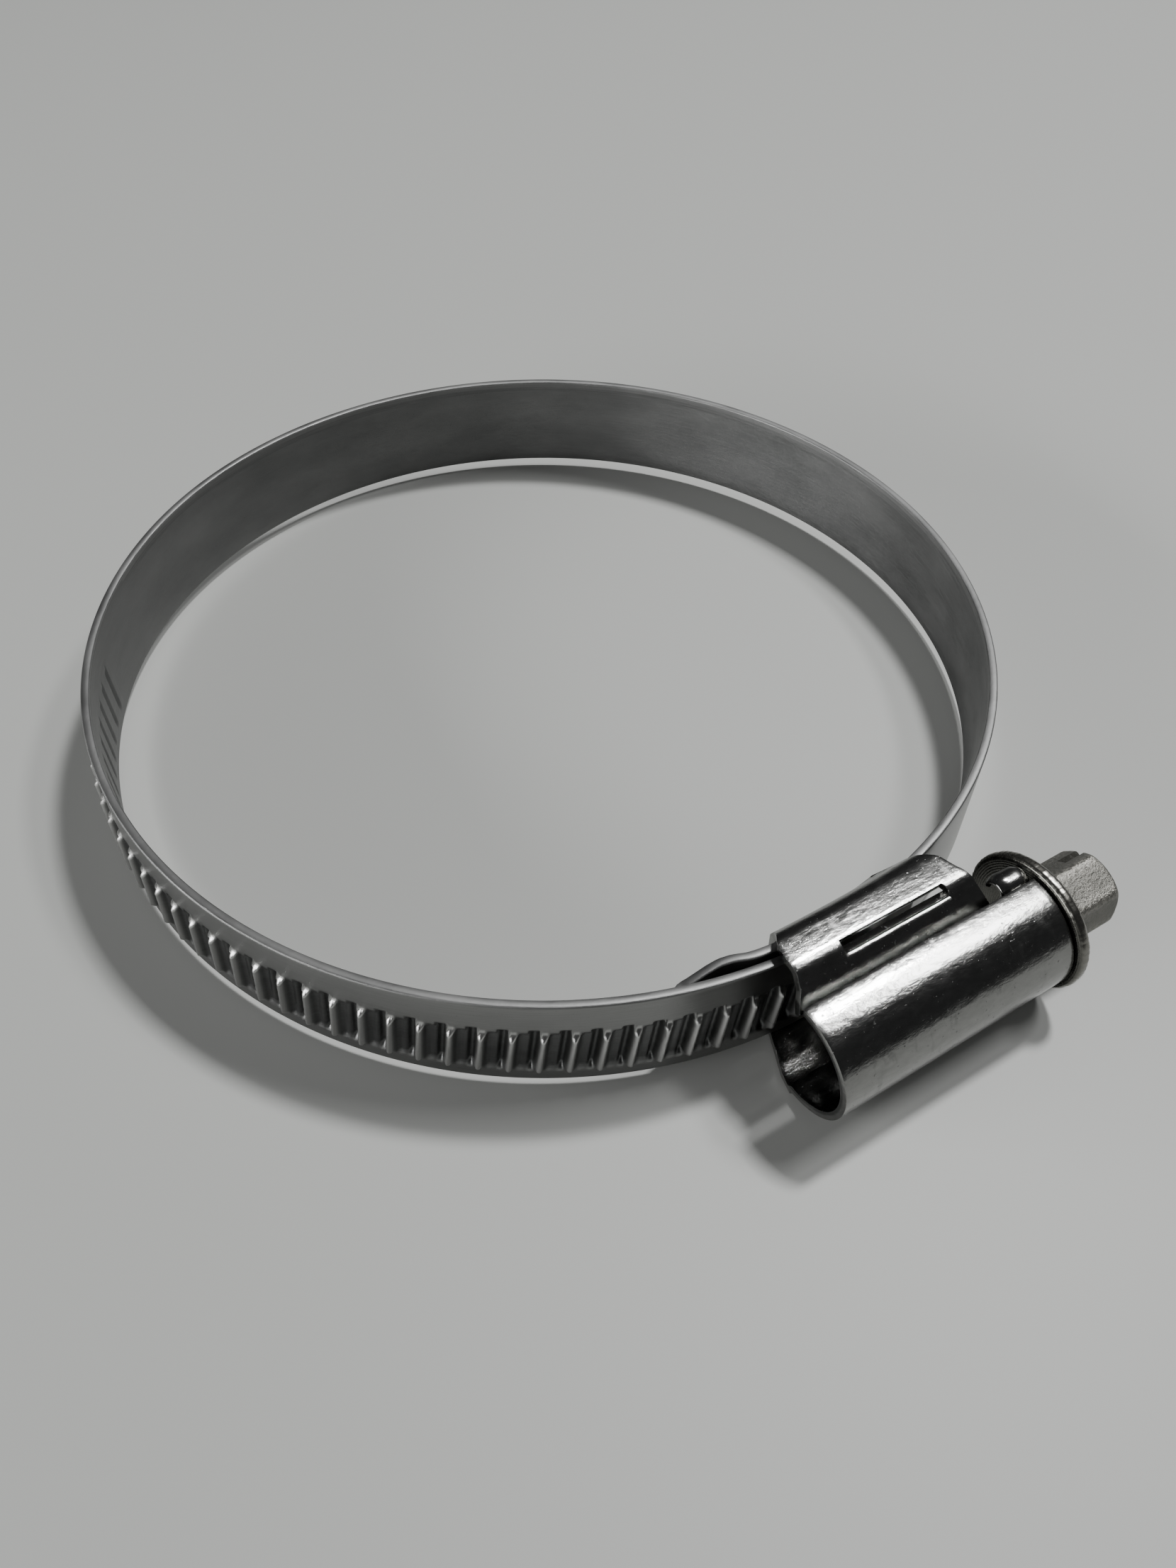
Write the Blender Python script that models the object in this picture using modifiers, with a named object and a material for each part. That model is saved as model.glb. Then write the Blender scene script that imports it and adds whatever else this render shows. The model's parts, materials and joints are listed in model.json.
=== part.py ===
"""Worm-drive hose clamp, 12 mm embossed band, 80-100 mm size, stood on its lower edges.

The clamp is drawn about the ring's own axis, housing at the front (-Y), screw head at the
right (+X), with z = 0 at half the band's height. The last step hangs every piece on one empty
that puts the origin at the middle of the bottom of the clamp's box.
"""
import math

import bmesh
import bpy
from mathutils import Matrix, Vector

MM = 0.001

# ---- band -------------------------------------------------------------------------------
BAND_WIDTH = 12.0 * MM
BAND_THICKNESS = 0.9 * MM
RING_RADIUS = 49.6 * MM           # outer face of the band where it is a true circle
LAYER_GAP = 0.5 * MM              # between the free end and the fixed end that it slides over
LINK_ANGLE = 22.0                 # one rigid section of band, degrees
LINK_COUNT = 16
FIRST_HINGE = 22.0                # degrees from the middle of the housing, towards the head
SPIRAL_START = 88.0               # up to here the band is an inner layer, for the free end to lie on
SPIRAL_END = 220.0                # and here it has come out to the full radius
END_GAP = 0.3 * MM                # between neighbouring sections
FREE_TIP = 12.5                   # the free end stops here, inside the housing, degrees
ARC_STEP = 2.75                   # facet of a curved band, degrees

# ---- ribs pressed into the band ---------------------------------------------------------
RIBS_PER_LINK = 7
FIRST_RIBBED_LINK = 11
RIB_PROUD = 0.2 * MM
RIB_HEIGHT = 6.9 * MM
RIB_CENTRE = -1.15 * MM           # below the middle of the band
RIB_CREST = 0.8 * MM
RIB_FOOT = 1.7 * MM
RIB_LEAN = 5.5                    # degrees, a right-hand thread

# ---- screw ------------------------------------------------------------------------------
THREAD_CLEARANCE = 0.2 * MM       # thread to rib: the sections cannot follow a thread exactly
THREAD_RADIUS = 4.5 * MM
THREAD_DEPTH = 0.9 * MM
THREAD_START = 1.6 * MM
THREAD_TURNS = 4.5
THREAD_SIDES = 20                 # facets in one turn
THREAD_FOOT = 0.34                # half widths of the ridge, as shares of the pitch
THREAD_CREST = 0.14
THREAD_SINK = 0.3 * MM            # the ridge starts this far inside the core
SCREW_DROP = -0.3 * MM            # axis below the middle of the band
WORM_CHAMFER = 0.4 * MM
NECK_RADIUS = 2.9 * MM
COLLAR_PROUD = 0.7 * MM           # beyond the barrel it holds the screw in
COLLAR_THICKNESS = 1.3 * MM
COLLAR_BEVEL = 0.3 * MM
HEX_ACROSS_FLATS = 7.0 * MM
HEX_LENGTH = 8.0 * MM
HEX_ROLL = 21.0                   # degrees
CROWN_SHARE = 0.93                # radius of the head's end, as a share of half the flats
CROWN_DOME = 0.2 * MM
HEX_SINK = 0.8 * MM               # the hexagon starts this far inside the collar
SLOT_WIDTH = 1.1 * MM
SLOT_DEPTH = 3.0 * MM
SLOT_ROLL = -39.0                 # degrees
HEAD_CLEARANCE = 0.3 * MM         # housing to collar

# ---- housing ----------------------------------------------------------------------------
SHEET = 0.8 * MM
TUCK_ROOM = 0.25 * MM             # thread to barrel, beyond the sheet tucked between them
HOUSING_LEFT = -7.2 * MM
HOUSING_LENGTH = 26.6 * MM
STATION = 2.2 * MM                # facet of the housing along the screw
ROLL_INSET = 2.6 * MM             # the wall over the band starts this far right of the barrel
ROLL_LENGTH = 19.8 * MM
FLOOR_CORNER = 1.2 * MM
ROOF_CORNER = 0.9 * MM
ROOF_CLEARANCE = 0.5 * MM         # roof to the band's top edge
SHOULDER_REACH = 0.5 * MM         # roof's outer end, beyond the band's face
SHOULDER_RADIUS = 1.6 * MM
SHOULDER_ANGLE = 50.0             # degrees, the wall falls from here straight to the screw
BAND_CLEARANCE = 0.3 * MM         # housing to band
VALLEY_ANGLE = 96.0               # where the sheet starts on the barrel, degrees
TUCK_GAP = 0.45 * MM              # wall's end to the sheet's start that laps over it
TUCK_SHIFT = 0.6 * MM
PANEL_DEPTH = 0.45 * MM           # the wall is pressed in between its two ends
PANEL_RAMP = 0.5 * MM
SLOT_LEFT = 3.6 * MM              # end strips of the wall, either side of its window
SLOT_RIGHT = 3.3 * MM
WINDOW_WIDTH = 0.8 * MM
WINDOW_REACH = 0.1 * MM           # window's inner side, beyond the band's face
LEG_TRIM = 4.2 * MM               # the inner leg and the roof's corner stop this far short of the wall

# ---- tongue at the fixed end ------------------------------------------------------------
TONGUE_HINGE = -8.2               # degrees
TONGUE_LENGTH = 8.2 * MM
TONGUE_DIP = 1.1 * MM
TONGUE_BEND = 0.38                # share of its length where it dips

# ---- worked out -------------------------------------------------------------------------
HALF_BAND = BAND_WIDTH / 2
HALF_SHEET = SHEET / 2
MID_RADIUS = RING_RADIUS - BAND_THICKNESS / 2
INNER_DROP = BAND_THICKNESS + LAYER_GAP
SCREW_DISTANCE = RING_RADIUS + RIB_PROUD + THREAD_CLEARANCE + THREAD_RADIUS
BARREL_RADIUS = THREAD_RADIUS + TUCK_ROOM + 2 * SHEET
COLLAR_RADIUS = BARREL_RADIUS + COLLAR_PROUD
HOUSING_RIGHT = HOUSING_LEFT + HOUSING_LENGTH
COLLAR_LEFT = HOUSING_RIGHT + HEAD_CLEARANCE
HEX_LEFT = COLLAR_LEFT + COLLAR_THICKNESS
ROOF = HALF_BAND + ROOF_CLEARANCE + HALF_SHEET
ROLL_LEFT = HOUSING_LEFT + ROLL_INSET
ROLL_RIGHT = ROLL_LEFT + ROLL_LENGTH
RIB_STEP = LINK_ANGLE / RIBS_PER_LINK   # degrees
PITCH = math.radians(RIB_STEP) * RING_RADIUS
LEG_RADIUS = MID_RADIUS - INNER_DROP - BAND_THICKNESS / 2 - BAND_CLEARANCE - HALF_SHEET
SMOOTH_BELOW = math.radians(30.0)

COLLECTION = bpy.data.collections.new("hose_clamp")
CUTTERS = bpy.data.collections.new("cutters")


def clear_scene():
    for item in list(bpy.data.objects):
        bpy.data.objects.remove(item, do_unlink=True)
    bpy.context.scene.collection.children.link(COLLECTION)
    bpy.context.scene.collection.children.link(CUTTERS)


def finish(name, colour, metallic, roughness):
    material = bpy.data.materials.new(name)
    material.use_nodes = True
    shader = material.node_tree.nodes["Principled BSDF"]
    shader.inputs["Base Color"].default_value = (*colour, 1.0)
    shader.inputs["Metallic"].default_value = metallic
    shader.inputs["Roughness"].default_value = roughness
    return material


def add_object(name, mesh, material=None, collection=COLLECTION):
    item = bpy.data.objects.new(name, mesh)
    collection.objects.link(item)
    if material:
        mesh.materials.append(material)
    mesh.shade_smooth()
    mesh.set_sharp_from_angle(angle=SMOOTH_BELOW)
    return item


def as_cutter(item):
    item.hide_render = True
    item.display_type = "WIRE"
    return item


def cut(item, cutter, operation="DIFFERENCE"):
    modifier = item.modifiers.new(operation.lower(), "BOOLEAN")
    modifier.operation = operation
    modifier.object = cutter
    modifier.solver = "EXACT"


def box(name, low, high):
    """A cutter box between two corners."""
    mesh = bpy.data.meshes.new(name)
    form = bmesh.new()
    size = [b - a for a, b in zip(low, high)]
    centre = [(a + b) / 2 for a, b in zip(low, high)]
    bmesh.ops.create_cube(form, size=1.0, matrix=Matrix.Translation(centre) @ Matrix.Diagonal((*size, 1.0)))
    form.to_mesh(mesh)
    form.free()
    return as_cutter(add_object(name, mesh, collection=CUTTERS))


def ring_point(angle, radius, height=0.0):
    """A point about the ring's axis: 0 degrees is the housing, positive runs towards the head."""
    turn = math.radians(angle)
    return Vector((radius * math.sin(turn), -radius * math.cos(turn), height))


def steps(first, last, step):
    count = max(1, round(abs(last - first) / step))
    return [first + (last - first) * i / count for i in range(count + 1)]


def smooth(value):
    value = min(max(value, 0.0), 1.0)
    return value * value * (3 - 2 * value)


def band_radius(angle):
    """Middle of the band: an inner layer at the fixed end that comes out to the full circle."""
    return MID_RADIUS - INNER_DROP * (1 - smooth((angle - SPIRAL_START) / (SPIRAL_END - SPIRAL_START)))


def strip(name, path, material, origin=Vector((0, 0, 0))):
    """A band of the full width that follows a path of (x, y) points at its middle."""
    mesh = bpy.data.meshes.new(name)
    form = bmesh.new()
    rows = []
    for i, point in enumerate(path):
        ahead = path[min(i + 1, len(path) - 1)]
        behind = path[max(i - 1, 0)]
        along = (ahead - behind).normalized()
        out = Vector((along.y, -along.x, 0)) * (BAND_THICKNESS / 2)
        corners = ((out, -HALF_BAND), (out, HALF_BAND), (-out, HALF_BAND), (-out, -HALF_BAND))
        rows.append([form.verts.new(point + side + Vector((0, 0, z)) - origin) for side, z in corners])
    for a, b in zip(rows, rows[1:]):
        for j in range(4):
            k = (j + 1) % 4
            form.faces.new((a[j], b[j], b[k], a[k]))
    form.faces.new(rows[0])
    form.faces.new(reversed(rows[-1]))
    bmesh.ops.recalc_face_normals(form, faces=form.faces)
    form.to_mesh(mesh)
    form.free()
    item = add_object(name, mesh, material)
    item.location = origin
    return item


def rib_cutter(name, angles, origin):
    """The ribs of one section: leaning ridges, each a tapered bar sunk into the band's face."""
    mesh = bpy.data.meshes.new(name)
    form = bmesh.new()
    sink = BAND_THICKNESS / 2
    lean = math.tan(math.radians(RIB_LEAN)) * RIB_HEIGHT / 2
    for angle in angles:
        out = ring_point(angle, 1.0)
        side = ring_point(angle + 90, 1.0)
        layers = []
        for radius, width in ((RING_RADIUS - sink, RIB_FOOT), (RING_RADIUS + RIB_PROUD, RIB_CREST)):
            layer = []
            for z, shift in ((-RIB_HEIGHT / 2, -lean), (RIB_HEIGHT / 2, lean)):
                for edge in (-width / 2, width / 2):
                    place = out * radius + side * (edge + shift) + Vector((0, 0, RIB_CENTRE + z))
                    layer.append(form.verts.new(place - origin))
            layers.append(layer)
        low, high = layers
        order = (0, 1, 3, 2)
        form.faces.new([low[i] for i in order])
        form.faces.new([high[i] for i in reversed(order)])
        for i, j in zip(order, order[1:] + order[:1]):
            form.faces.new((low[i], low[j], high[j], high[i]))
    bmesh.ops.recalc_face_normals(form, faces=form.faces)
    form.to_mesh(mesh)
    form.free()
    item = as_cutter(add_object(name, mesh, collection=CUTTERS))
    item.location = origin
    return item


def band_sections(material):
    """The one strip of band, cut at every hinge so that the loop can close up."""
    gap = math.degrees(END_GAP / MID_RADIUS) / 2
    hinges = [FIRST_HINGE + LINK_ANGLE * i for i in range(LINK_COUNT)]
    fixed = [ring_point(a, band_radius(a)) for a in steps(TONGUE_HINGE + gap, FIRST_HINGE - gap, ARC_STEP)]
    items = [strip("band_fixed_end", fixed, material)]

    dip = math.degrees(TONGUE_LENGTH / MID_RADIUS)
    start = TONGUE_HINGE - gap
    bend = start - dip * TONGUE_BEND
    tongue = [
        ring_point(start, band_radius(start)),
        ring_point(bend, band_radius(bend) - TONGUE_DIP + LAYER_GAP),
        ring_point(start - dip, band_radius(0.0) + LAYER_GAP - BAND_CLEARANCE),
    ]
    items.append(strip("band_tongue", tongue, material, ring_point(TONGUE_HINGE, band_radius(0.0))))

    for i, hinge in enumerate(hinges):
        last = i == LINK_COUNT - 1
        end = 360.0 + FREE_TIP if last else hinge + LINK_ANGLE - gap
        path = [ring_point(a, band_radius(a)) for a in steps(hinge + gap, end, ARC_STEP)]
        origin = ring_point(hinge, band_radius(hinge))
        name = "band_free_end" if last else "band_section_%02d" % (i + 1)
        item = strip(name, path, material, origin)
        if i + 1 >= FIRST_RIBBED_LINK:
            centres = [hinge + RIB_STEP * (n + 0.5) for n in range(RIBS_PER_LINK)]
            ribs = rib_cutter(name + "_ribs", [a for a in centres if a < end - RIB_STEP / 2], origin)
            cut(item, ribs, "UNION")
        items.append(item)
    return items


def arc(centre, radius, first, last, step=12.0):
    points = []
    for angle in steps(first, last, step):
        turn = math.radians(angle)
        points.append((centre[0] + radius * math.cos(turn), centre[1] + radius * math.sin(turn)))
    return points


def housing_profile():
    """Middle of the sheet in (outward, up, share pressed in): round the barrel, under the band
    and over its top. Also how many of its points are on the barrel."""
    barrel = (SCREW_DISTANCE, SCREW_DROP)
    points = arc(barrel, BARREL_RADIUS - HALF_SHEET, VALLEY_ANGLE, -90.0)
    floor = min(SCREW_DROP - BARREL_RADIUS, -HALF_BAND - BAND_CLEARANCE - SHEET) + HALF_SHEET
    points[-1] = (points[-1][0], floor)
    barrel_count = len(points)
    points += arc((LEG_RADIUS + FLOOR_CORNER, floor + FLOOR_CORNER), FLOOR_CORNER, -90.0, -180.0, 22.5)
    points += arc((LEG_RADIUS + ROOF_CORNER, ROOF - ROOF_CORNER), ROOF_CORNER, 180.0, 90.0, 22.5)
    plain = len(points)
    shoulder = (RING_RADIUS + SHOULDER_REACH, ROOF - SHOULDER_RADIUS)
    points += arc(shoulder, SHOULDER_RADIUS, 90.0, SHOULDER_ANGLE)
    edge = math.radians(VALLEY_ANGLE)
    reach = BARREL_RADIUS - SHEET - TUCK_GAP - HALF_SHEET
    tuck = (barrel[0] + reach * math.cos(edge) - TUCK_SHIFT, barrel[1] + reach * math.sin(edge))
    last = points[-1]
    points += [((last[0] + tuck[0]) / 2, (last[1] + tuck[1]) / 2), tuck]
    pressed = [0.0] * plain + [i / (len(points) - plain - 2) for i in range(len(points) - plain - 1)] + [0.0]
    return [(*point, share) for point, share in zip(points, pressed)], barrel_count


def housing(material):
    """One strip of sheet wrapped round the screw and the band, drawn as an open skin."""
    profile, barrel_count = housing_profile()
    mesh = bpy.data.meshes.new("housing")
    form = bmesh.new()
    panel = (ROLL_LEFT + SLOT_LEFT - PANEL_RAMP, ROLL_RIGHT - SLOT_RIGHT + PANEL_RAMP)
    marks = (HOUSING_LEFT, ROLL_LEFT, panel[0], panel[0] + PANEL_RAMP)
    marks += (panel[1] - PANEL_RAMP, panel[1], ROLL_RIGHT, HOUSING_RIGHT)
    stations = [HOUSING_LEFT]
    for a, b in zip(marks, marks[1:]):
        stations += steps(a, b, STATION)[1:]
    slope = math.radians(SHOULDER_ANGLE)
    fade_from = HALF_BAND + ROOF_CLEARANCE / 2
    rows = []
    for x in stations:
        along = min(max((x - ROLL_LEFT) / ROLL_LENGTH, 0.0), 1.0)
        depth = PANEL_DEPTH * min(max(min(x - panel[0], panel[1] - x) / PANEL_RAMP, 0.0), 1.0)
        row = []
        for j, (out, up, share) in enumerate(profile):
            inner = smooth((RING_RADIUS - out) / (RING_RADIUS - LEG_RADIUS))
            place = x if j < barrel_count else x - LEG_TRIM * inner * along
            bow = LEG_RADIUS - math.sqrt(LEG_RADIUS ** 2 - place ** 2)
            inner *= 1 - smooth((up - fade_from) / (ROOF - fade_from))
            dip = depth * share
            reach = out - bow * inner - dip * math.cos(slope)
            row.append(form.verts.new((place, -reach, up - dip * math.sin(slope))))
        rows.append(row)
    for i, (a, b) in enumerate(zip(rows, rows[1:])):
        # left and right of the wall only the barrel goes on, which shows the collar's face
        beside = not ROLL_LEFT < (stations[i] + stations[i + 1]) / 2 < ROLL_RIGHT
        for j in range(barrel_count - 1 if beside else len(profile) - 1):
            form.faces.new((a[j], a[j + 1], b[j + 1], b[j]))
    bmesh.ops.delete(form, geom=[v for v in form.verts if not v.link_faces], context="VERTS")
    form.to_mesh(mesh)
    form.free()
    item = add_object("housing", mesh, material)
    shell = item.modifiers.new("sheet", "SOLIDIFY")
    shell.thickness = SHEET
    shell.offset = 0.0
    shell.use_even_offset = True

    inner_side = -(RING_RADIUS + WINDOW_REACH)
    window = box(
        "window",
        (ROLL_LEFT + SLOT_LEFT, inner_side - WINDOW_WIDTH, HALF_BAND + BAND_CLEARANCE / 2),
        (ROLL_RIGHT - SLOT_RIGHT, inner_side, HALF_BAND * 2),
    )
    cut(item, window)
    return item


def turned(name, profile, sides):
    """A solid turned about X from (x, radius) stations, the first and last on the axis."""
    mesh = bpy.data.meshes.new(name)
    form = bmesh.new()
    rings = []
    for x, radius in profile:
        if radius == 0:
            rings.append([form.verts.new((x, 0, 0))])
            continue
        ring = []
        for i in range(sides):
            turn = 2 * math.pi * i / sides
            ring.append(form.verts.new((x, radius * math.cos(turn), radius * math.sin(turn))))
        rings.append(ring)
    for a, b in zip(rings, rings[1:]):
        for i in range(sides):
            j = (i + 1) % sides
            if len(a) == 1:
                form.faces.new((a[0], b[i], b[j]))
            elif len(b) == 1:
                form.faces.new((a[i], b[0], a[j]))
            else:
                form.faces.new((a[i], b[i], b[j], a[j]))
    bmesh.ops.recalc_face_normals(form, faces=form.faces)
    form.to_mesh(mesh)
    form.free()
    return mesh


def thread(name, root):
    """The worm's thread: a tapered ridge on a helix, sunk into the core."""
    mesh = bpy.data.meshes.new(name)
    form = bmesh.new()
    rows = []
    total = int(THREAD_TURNS * THREAD_SIDES)
    for i in range(total + 1):
        turn = 2 * math.pi * i / THREAD_SIDES
        x = THREAD_START + PITCH * (i / THREAD_SIDES)
        fade = min(1.0, 2.5 * min(i, total - i) / THREAD_SIDES + 0.15)
        crest = root + (THREAD_RADIUS - root) * fade
        row = []
        for radius, half in ((root - THREAD_SINK, THREAD_FOOT), (crest, THREAD_CREST)):
            for sign in (-1, 1):
                place = (x + sign * half * PITCH, radius * math.cos(turn), radius * math.sin(turn))
                row.append(form.verts.new(place))
        rows.append([row[0], row[1], row[3], row[2]])
    for a, b in zip(rows, rows[1:]):
        for j in range(4):
            k = (j + 1) % 4
            form.faces.new((a[j], a[k], b[k], b[j]))
    form.faces.new(rows[0])
    form.faces.new(rows[-1])
    bmesh.ops.recalc_face_normals(form, faces=form.faces)
    form.to_mesh(mesh)
    form.free()
    return as_cutter(add_object(name, mesh, collection=CUTTERS))


def screw(material):
    """Slotted hexagon, collar, neck and worm, all one piece."""
    root = THREAD_RADIUS - THREAD_DEPTH
    left = THREAD_START - PITCH / 2
    right = THREAD_START + PITCH * (THREAD_TURNS + 0.5)
    profile = [
        (left, 0),
        (left, root - WORM_CHAMFER),
        (left + WORM_CHAMFER, root),
        (right, root),
        (right + WORM_CHAMFER, NECK_RADIUS),
        (COLLAR_LEFT, NECK_RADIUS),
        (COLLAR_LEFT, COLLAR_RADIUS - COLLAR_BEVEL),
        (COLLAR_LEFT + COLLAR_BEVEL, COLLAR_RADIUS),
        (HEX_LEFT - COLLAR_BEVEL, COLLAR_RADIUS),
        (HEX_LEFT, COLLAR_RADIUS - COLLAR_BEVEL),
        (HEX_LEFT, 0),
    ]
    item = add_object("worm_screw", turned("worm_screw", profile, 40), material)
    axis = Vector((0, -SCREW_DISTANCE, SCREW_DROP))
    item.location = axis

    ridge = thread("worm_thread", root)
    ridge.location = axis
    cut(item, ridge, "UNION")

    corner = HEX_ACROSS_FLATS / math.sqrt(3)
    half_flat = HEX_ACROSS_FLATS / 2
    bar = [(-HEX_SINK, 0), (-HEX_SINK, corner), (HEX_LENGTH, corner), (HEX_LENGTH, 0)]
    hexagon = turned("hexagon", bar, 6)
    head = as_cutter(add_object("hexagon", hexagon, collection=CUTTERS))
    head.location = axis + Vector((HEX_LEFT, 0, 0))
    head.rotation_euler = (math.radians(HEX_ROLL), 0, 0)
    end = half_flat * CROWN_SHARE
    wide = corner * 2
    crown = [
        (-HEX_SINK * 2, 0),
        (-HEX_SINK * 2, wide),
        (HEX_LENGTH - CROWN_DOME - (wide - end), wide),
        (HEX_LENGTH - CROWN_DOME, end),
        (HEX_LENGTH, end - CROWN_DOME * 2),
        (HEX_LENGTH, 0),
    ]
    dome = as_cutter(add_object("crown", turned("crown", crown, 36), collection=CUTTERS))
    dome.location = head.location
    cut(head, dome, "INTERSECT")
    half_slot = SLOT_WIDTH / 2
    groove = box("slot", (HEX_LENGTH - SLOT_DEPTH, -half_slot, -wide), (HEX_LENGTH * 2, half_slot, wide))
    groove.location = head.location
    groove.rotation_euler = (math.radians(SLOT_ROLL), 0, 0)
    cut(head, groove)
    cut(item, head, "UNION")
    return item


def stand_on_floor(items):
    """Hang everything on one empty at the middle of the bottom of the clamp's own box."""
    bpy.context.view_layer.update()
    graph = bpy.context.evaluated_depsgraph_get()
    corners = []
    for item in items:
        shape = item.evaluated_get(graph)
        mesh = shape.to_mesh()
        corners += [item.matrix_world @ vertex.co for vertex in mesh.vertices]
        shape.to_mesh_clear()
    low = [min(c[i] for c in corners) for i in range(3)]
    high = [max(c[i] for c in corners) for i in range(3)]
    frame = bpy.data.objects.new("clamp_frame", None)
    COLLECTION.objects.link(frame)
    for item in list(COLLECTION.objects) + list(CUTTERS.objects):
        if item is not frame:
            item.parent = frame
    frame.location = (-(low[0] + high[0]) / 2, -(low[1] + high[1]) / 2, -low[2])
    bpy.context.view_layer.update()


clear_scene()
steel = finish("band_steel", (0.56, 0.57, 0.57), 1.0, 0.35)
bright = finish("housing_steel", (0.66, 0.67, 0.67), 1.0, 0.2)
zinc = finish("screw_zinc", (0.45, 0.46, 0.42), 1.0, 0.35)
pieces = band_sections(steel)
pieces.append(housing(bright))
pieces.append(screw(zinc))
stand_on_floor(pieces)
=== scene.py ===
"""The looks of the worm-drive hose clamp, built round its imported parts."""
import json
import math
import random

import bmesh
import bpy
from mathutils import Matrix, Vector


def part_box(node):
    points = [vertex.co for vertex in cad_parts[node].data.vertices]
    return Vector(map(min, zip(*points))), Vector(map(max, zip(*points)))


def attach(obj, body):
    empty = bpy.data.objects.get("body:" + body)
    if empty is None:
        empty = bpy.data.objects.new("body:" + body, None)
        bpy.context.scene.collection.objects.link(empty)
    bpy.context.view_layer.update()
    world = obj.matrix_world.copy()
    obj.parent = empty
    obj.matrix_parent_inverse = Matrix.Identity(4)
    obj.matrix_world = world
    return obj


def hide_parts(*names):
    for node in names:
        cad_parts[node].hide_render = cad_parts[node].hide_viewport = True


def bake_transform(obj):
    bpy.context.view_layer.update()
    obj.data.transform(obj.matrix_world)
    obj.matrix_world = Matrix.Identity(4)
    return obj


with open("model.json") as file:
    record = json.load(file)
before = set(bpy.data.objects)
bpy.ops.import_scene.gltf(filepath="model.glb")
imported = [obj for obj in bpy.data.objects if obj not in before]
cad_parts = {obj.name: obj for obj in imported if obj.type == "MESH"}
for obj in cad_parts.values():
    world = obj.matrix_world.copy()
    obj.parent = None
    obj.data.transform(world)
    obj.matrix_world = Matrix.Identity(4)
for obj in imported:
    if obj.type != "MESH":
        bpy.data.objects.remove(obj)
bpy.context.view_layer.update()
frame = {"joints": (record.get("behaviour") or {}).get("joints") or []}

# ---- band -------------------------------------------------------------------------------
# A 12 mm strip of bare stainless spring steel, slit from a coil and rolled along both edges.
# Leaning ribs are embossed over its last third, each with a sharp pocket beside a round crest,
# and the strip winds from under the housing, round once and back in over its own start.
MM = 0.001
HALF_BAND = 6.0 * MM
HALF_THICK = 0.45 * MM
EDGE_ROUND = 0.22 * MM
MID_RADIUS = 49.15 * MM
INNER_DROP = 1.4 * MM
SPIRAL = (88.0, 220.0)
HINGE_START = 22.0
SECTION = 22.0
RIB_STEP = SECTION / 7
FIRST_RIB = 242.0
BAND_END = 372.5
TONGUE_HINGE = -8.2
TONGUE_TIP = -17.9
TONGUE_TAPER = 1.5 * MM           # each edge runs in this far by the tip
TONGUE_DIP = [(0, 0), (0.12, 0.05), (0.3, 0.42), (0.45, 0.5), (0.6, 0.3), (0.85, -0.2), (1, -0.3)]
END_ROUND = 1.2 * MM


def smooth(value):
    value = min(max(value, 0.0), 1.0)
    return value * value * (3 - 2 * value)


def through(points, value):
    """Straight runs between (value, result) points."""
    for (a, x), (b, y) in zip(points, points[1:]):
        if value <= b:
            return x + (y - x) * max(value - a, 0.0) / (b - a)
    return points[-1][1]


def band_radius(angle):
    if angle >= TONGUE_HINGE:
        return MID_RADIUS - INNER_DROP * (1 - smooth((angle - SPIRAL[0]) / (SPIRAL[1] - SPIRAL[0])))
    run = (TONGUE_HINGE - angle) / (TONGUE_HINGE - TONGUE_TIP)
    return MID_RADIUS - INNER_DROP - through(TONGUE_DIP, run) * MM


# the ring's axis, from the band's first bend
bend = next(joint for joint in frame["joints"] if joint["name"] == "band_bend_01")["pos_m"]
RING_X = bend[0] - band_radius(HINGE_START) * math.sin(math.radians(HINGE_START))
RING_Y = bend[1] + band_radius(HINGE_START) * math.cos(math.radians(HINGE_START))
RING_Z = bend[2]


def on_ring(angle, radius, height):
    turn = math.radians(angle)
    return Vector((RING_X + radius * math.sin(turn), RING_Y - radius * math.cos(turn), RING_Z + height))


# height of the embossed face across one rib's pitch, and the run of each part up the band
ACROSS = [(0.0, -0.2), (0.07, -0.26), (0.13, -0.5), (0.18, -0.6), (0.27, -0.6), (0.33, -0.12), (0.38, 0.24),
          (0.44, 0.54), (0.5, 0.62), (0.56, 0.54), (0.63, 0.22), (0.72, -0.14), (0.84, -0.28), (1.0, -0.2)]
RIB_LOW = -4.6 * MM
# where a pocket, a crest and a flank end: share of the pitch, top, and fade at foot and at top
PARTS = [(0.4, 2.35 * MM, 1.1 * MM, 0.28 * MM),
         (0.6, 1.95 * MM, 0.8 * MM, 0.8 * MM),
         (1.0, 1.9 * MM, 0.9 * MM, 0.4 * MM)]
LEAN = math.tan(math.radians(5.5))
LEAN_CENTRE = -1.15 * MM
HOLLOW_SHARE = 0.55
HOLLOW_LIMIT = -0.05 * MM


def relief(angle, z):
    """How far the band's face stands out at this place."""
    if angle < FIRST_RIB - RIB_STEP * 0.2 or angle > BAND_END - RIB_STEP / 2:
        return 0.0
    shift = math.degrees(LEAN * (z - LEAN_CENTRE) / MID_RADIUS)
    place = (angle - shift - FIRST_RIB) / RIB_STEP
    if place < 0:
        return 0.0
    across = place % 1.0
    top, foot_fade, top_fade = next(part[1:] for part in PARTS if across < part[0])
    return through(ACROSS, across) * MM * smooth((z - RIB_LOW) / foot_fade) * smooth((top - z) / top_fade)


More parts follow.
